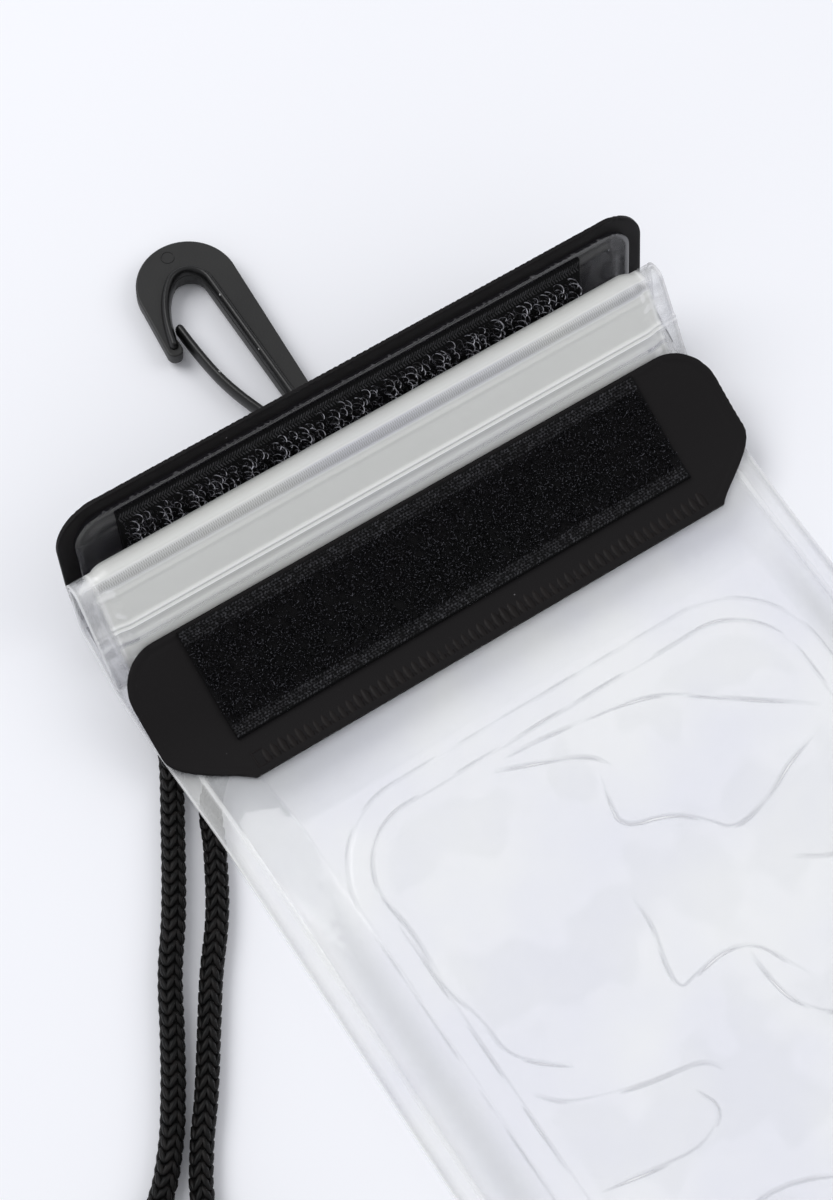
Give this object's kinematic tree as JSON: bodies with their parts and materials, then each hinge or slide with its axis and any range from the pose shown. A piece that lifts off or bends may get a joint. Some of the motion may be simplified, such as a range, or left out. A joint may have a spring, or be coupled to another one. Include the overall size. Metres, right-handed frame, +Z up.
{
  "type": "waterproof phone pouch",
  "caption": "Clear film phone pouch with press zips in a folded neck, two hook-and-loop closing flaps, and a loop of neck cord on a snap hook.",
  "frame": {"origin": "on the table, below the middle of the box round the pouch and its snap hook, without the cord", "axes": "+X across the pouch, +Y from its closed end to its mouth, +Z up from the table"},
  "size_m": [0.2005, 0.278, 0.0303],
  "materials": {
    "clear_film": "clear soft film, glossy, slightly milky",
    "frosted_zip": "frosted press-zip strip seen through the film",
    "flap_cover": "matte coated black sheet with a fine fabric grain",
    "flap_lining": "smooth glossy black film",
    "tape": "black hook-and-loop tape",
    "hook_plastic": "moulded black plastic, satin",
    "cord": "round knitted cord, black"
  },
  "bodies": {
    "root": {"back_film": "clear_film", "front_film": "clear_film", "zip_1_rib_strip": "frosted_zip", "zip_1_groove_strip": "frosted_zip", "zip_2_rib_strip": "frosted_zip", "zip_2_groove_strip": "frosted_zip", "zip_3_rib_strip": "frosted_zip", "zip_3_groove_strip": "frosted_zip", "front_flap": "flap_cover", "loop_tape": "tape", "back_flap": "flap_cover", "back_flap_lining": "flap_lining", "hook_tape": "tape", "snap_hook": "hook_plastic", "cord_strand_out": "cord", "cord_strand_back": "cord", "cord_coil": "cord"}
  },
  "joints": []
}
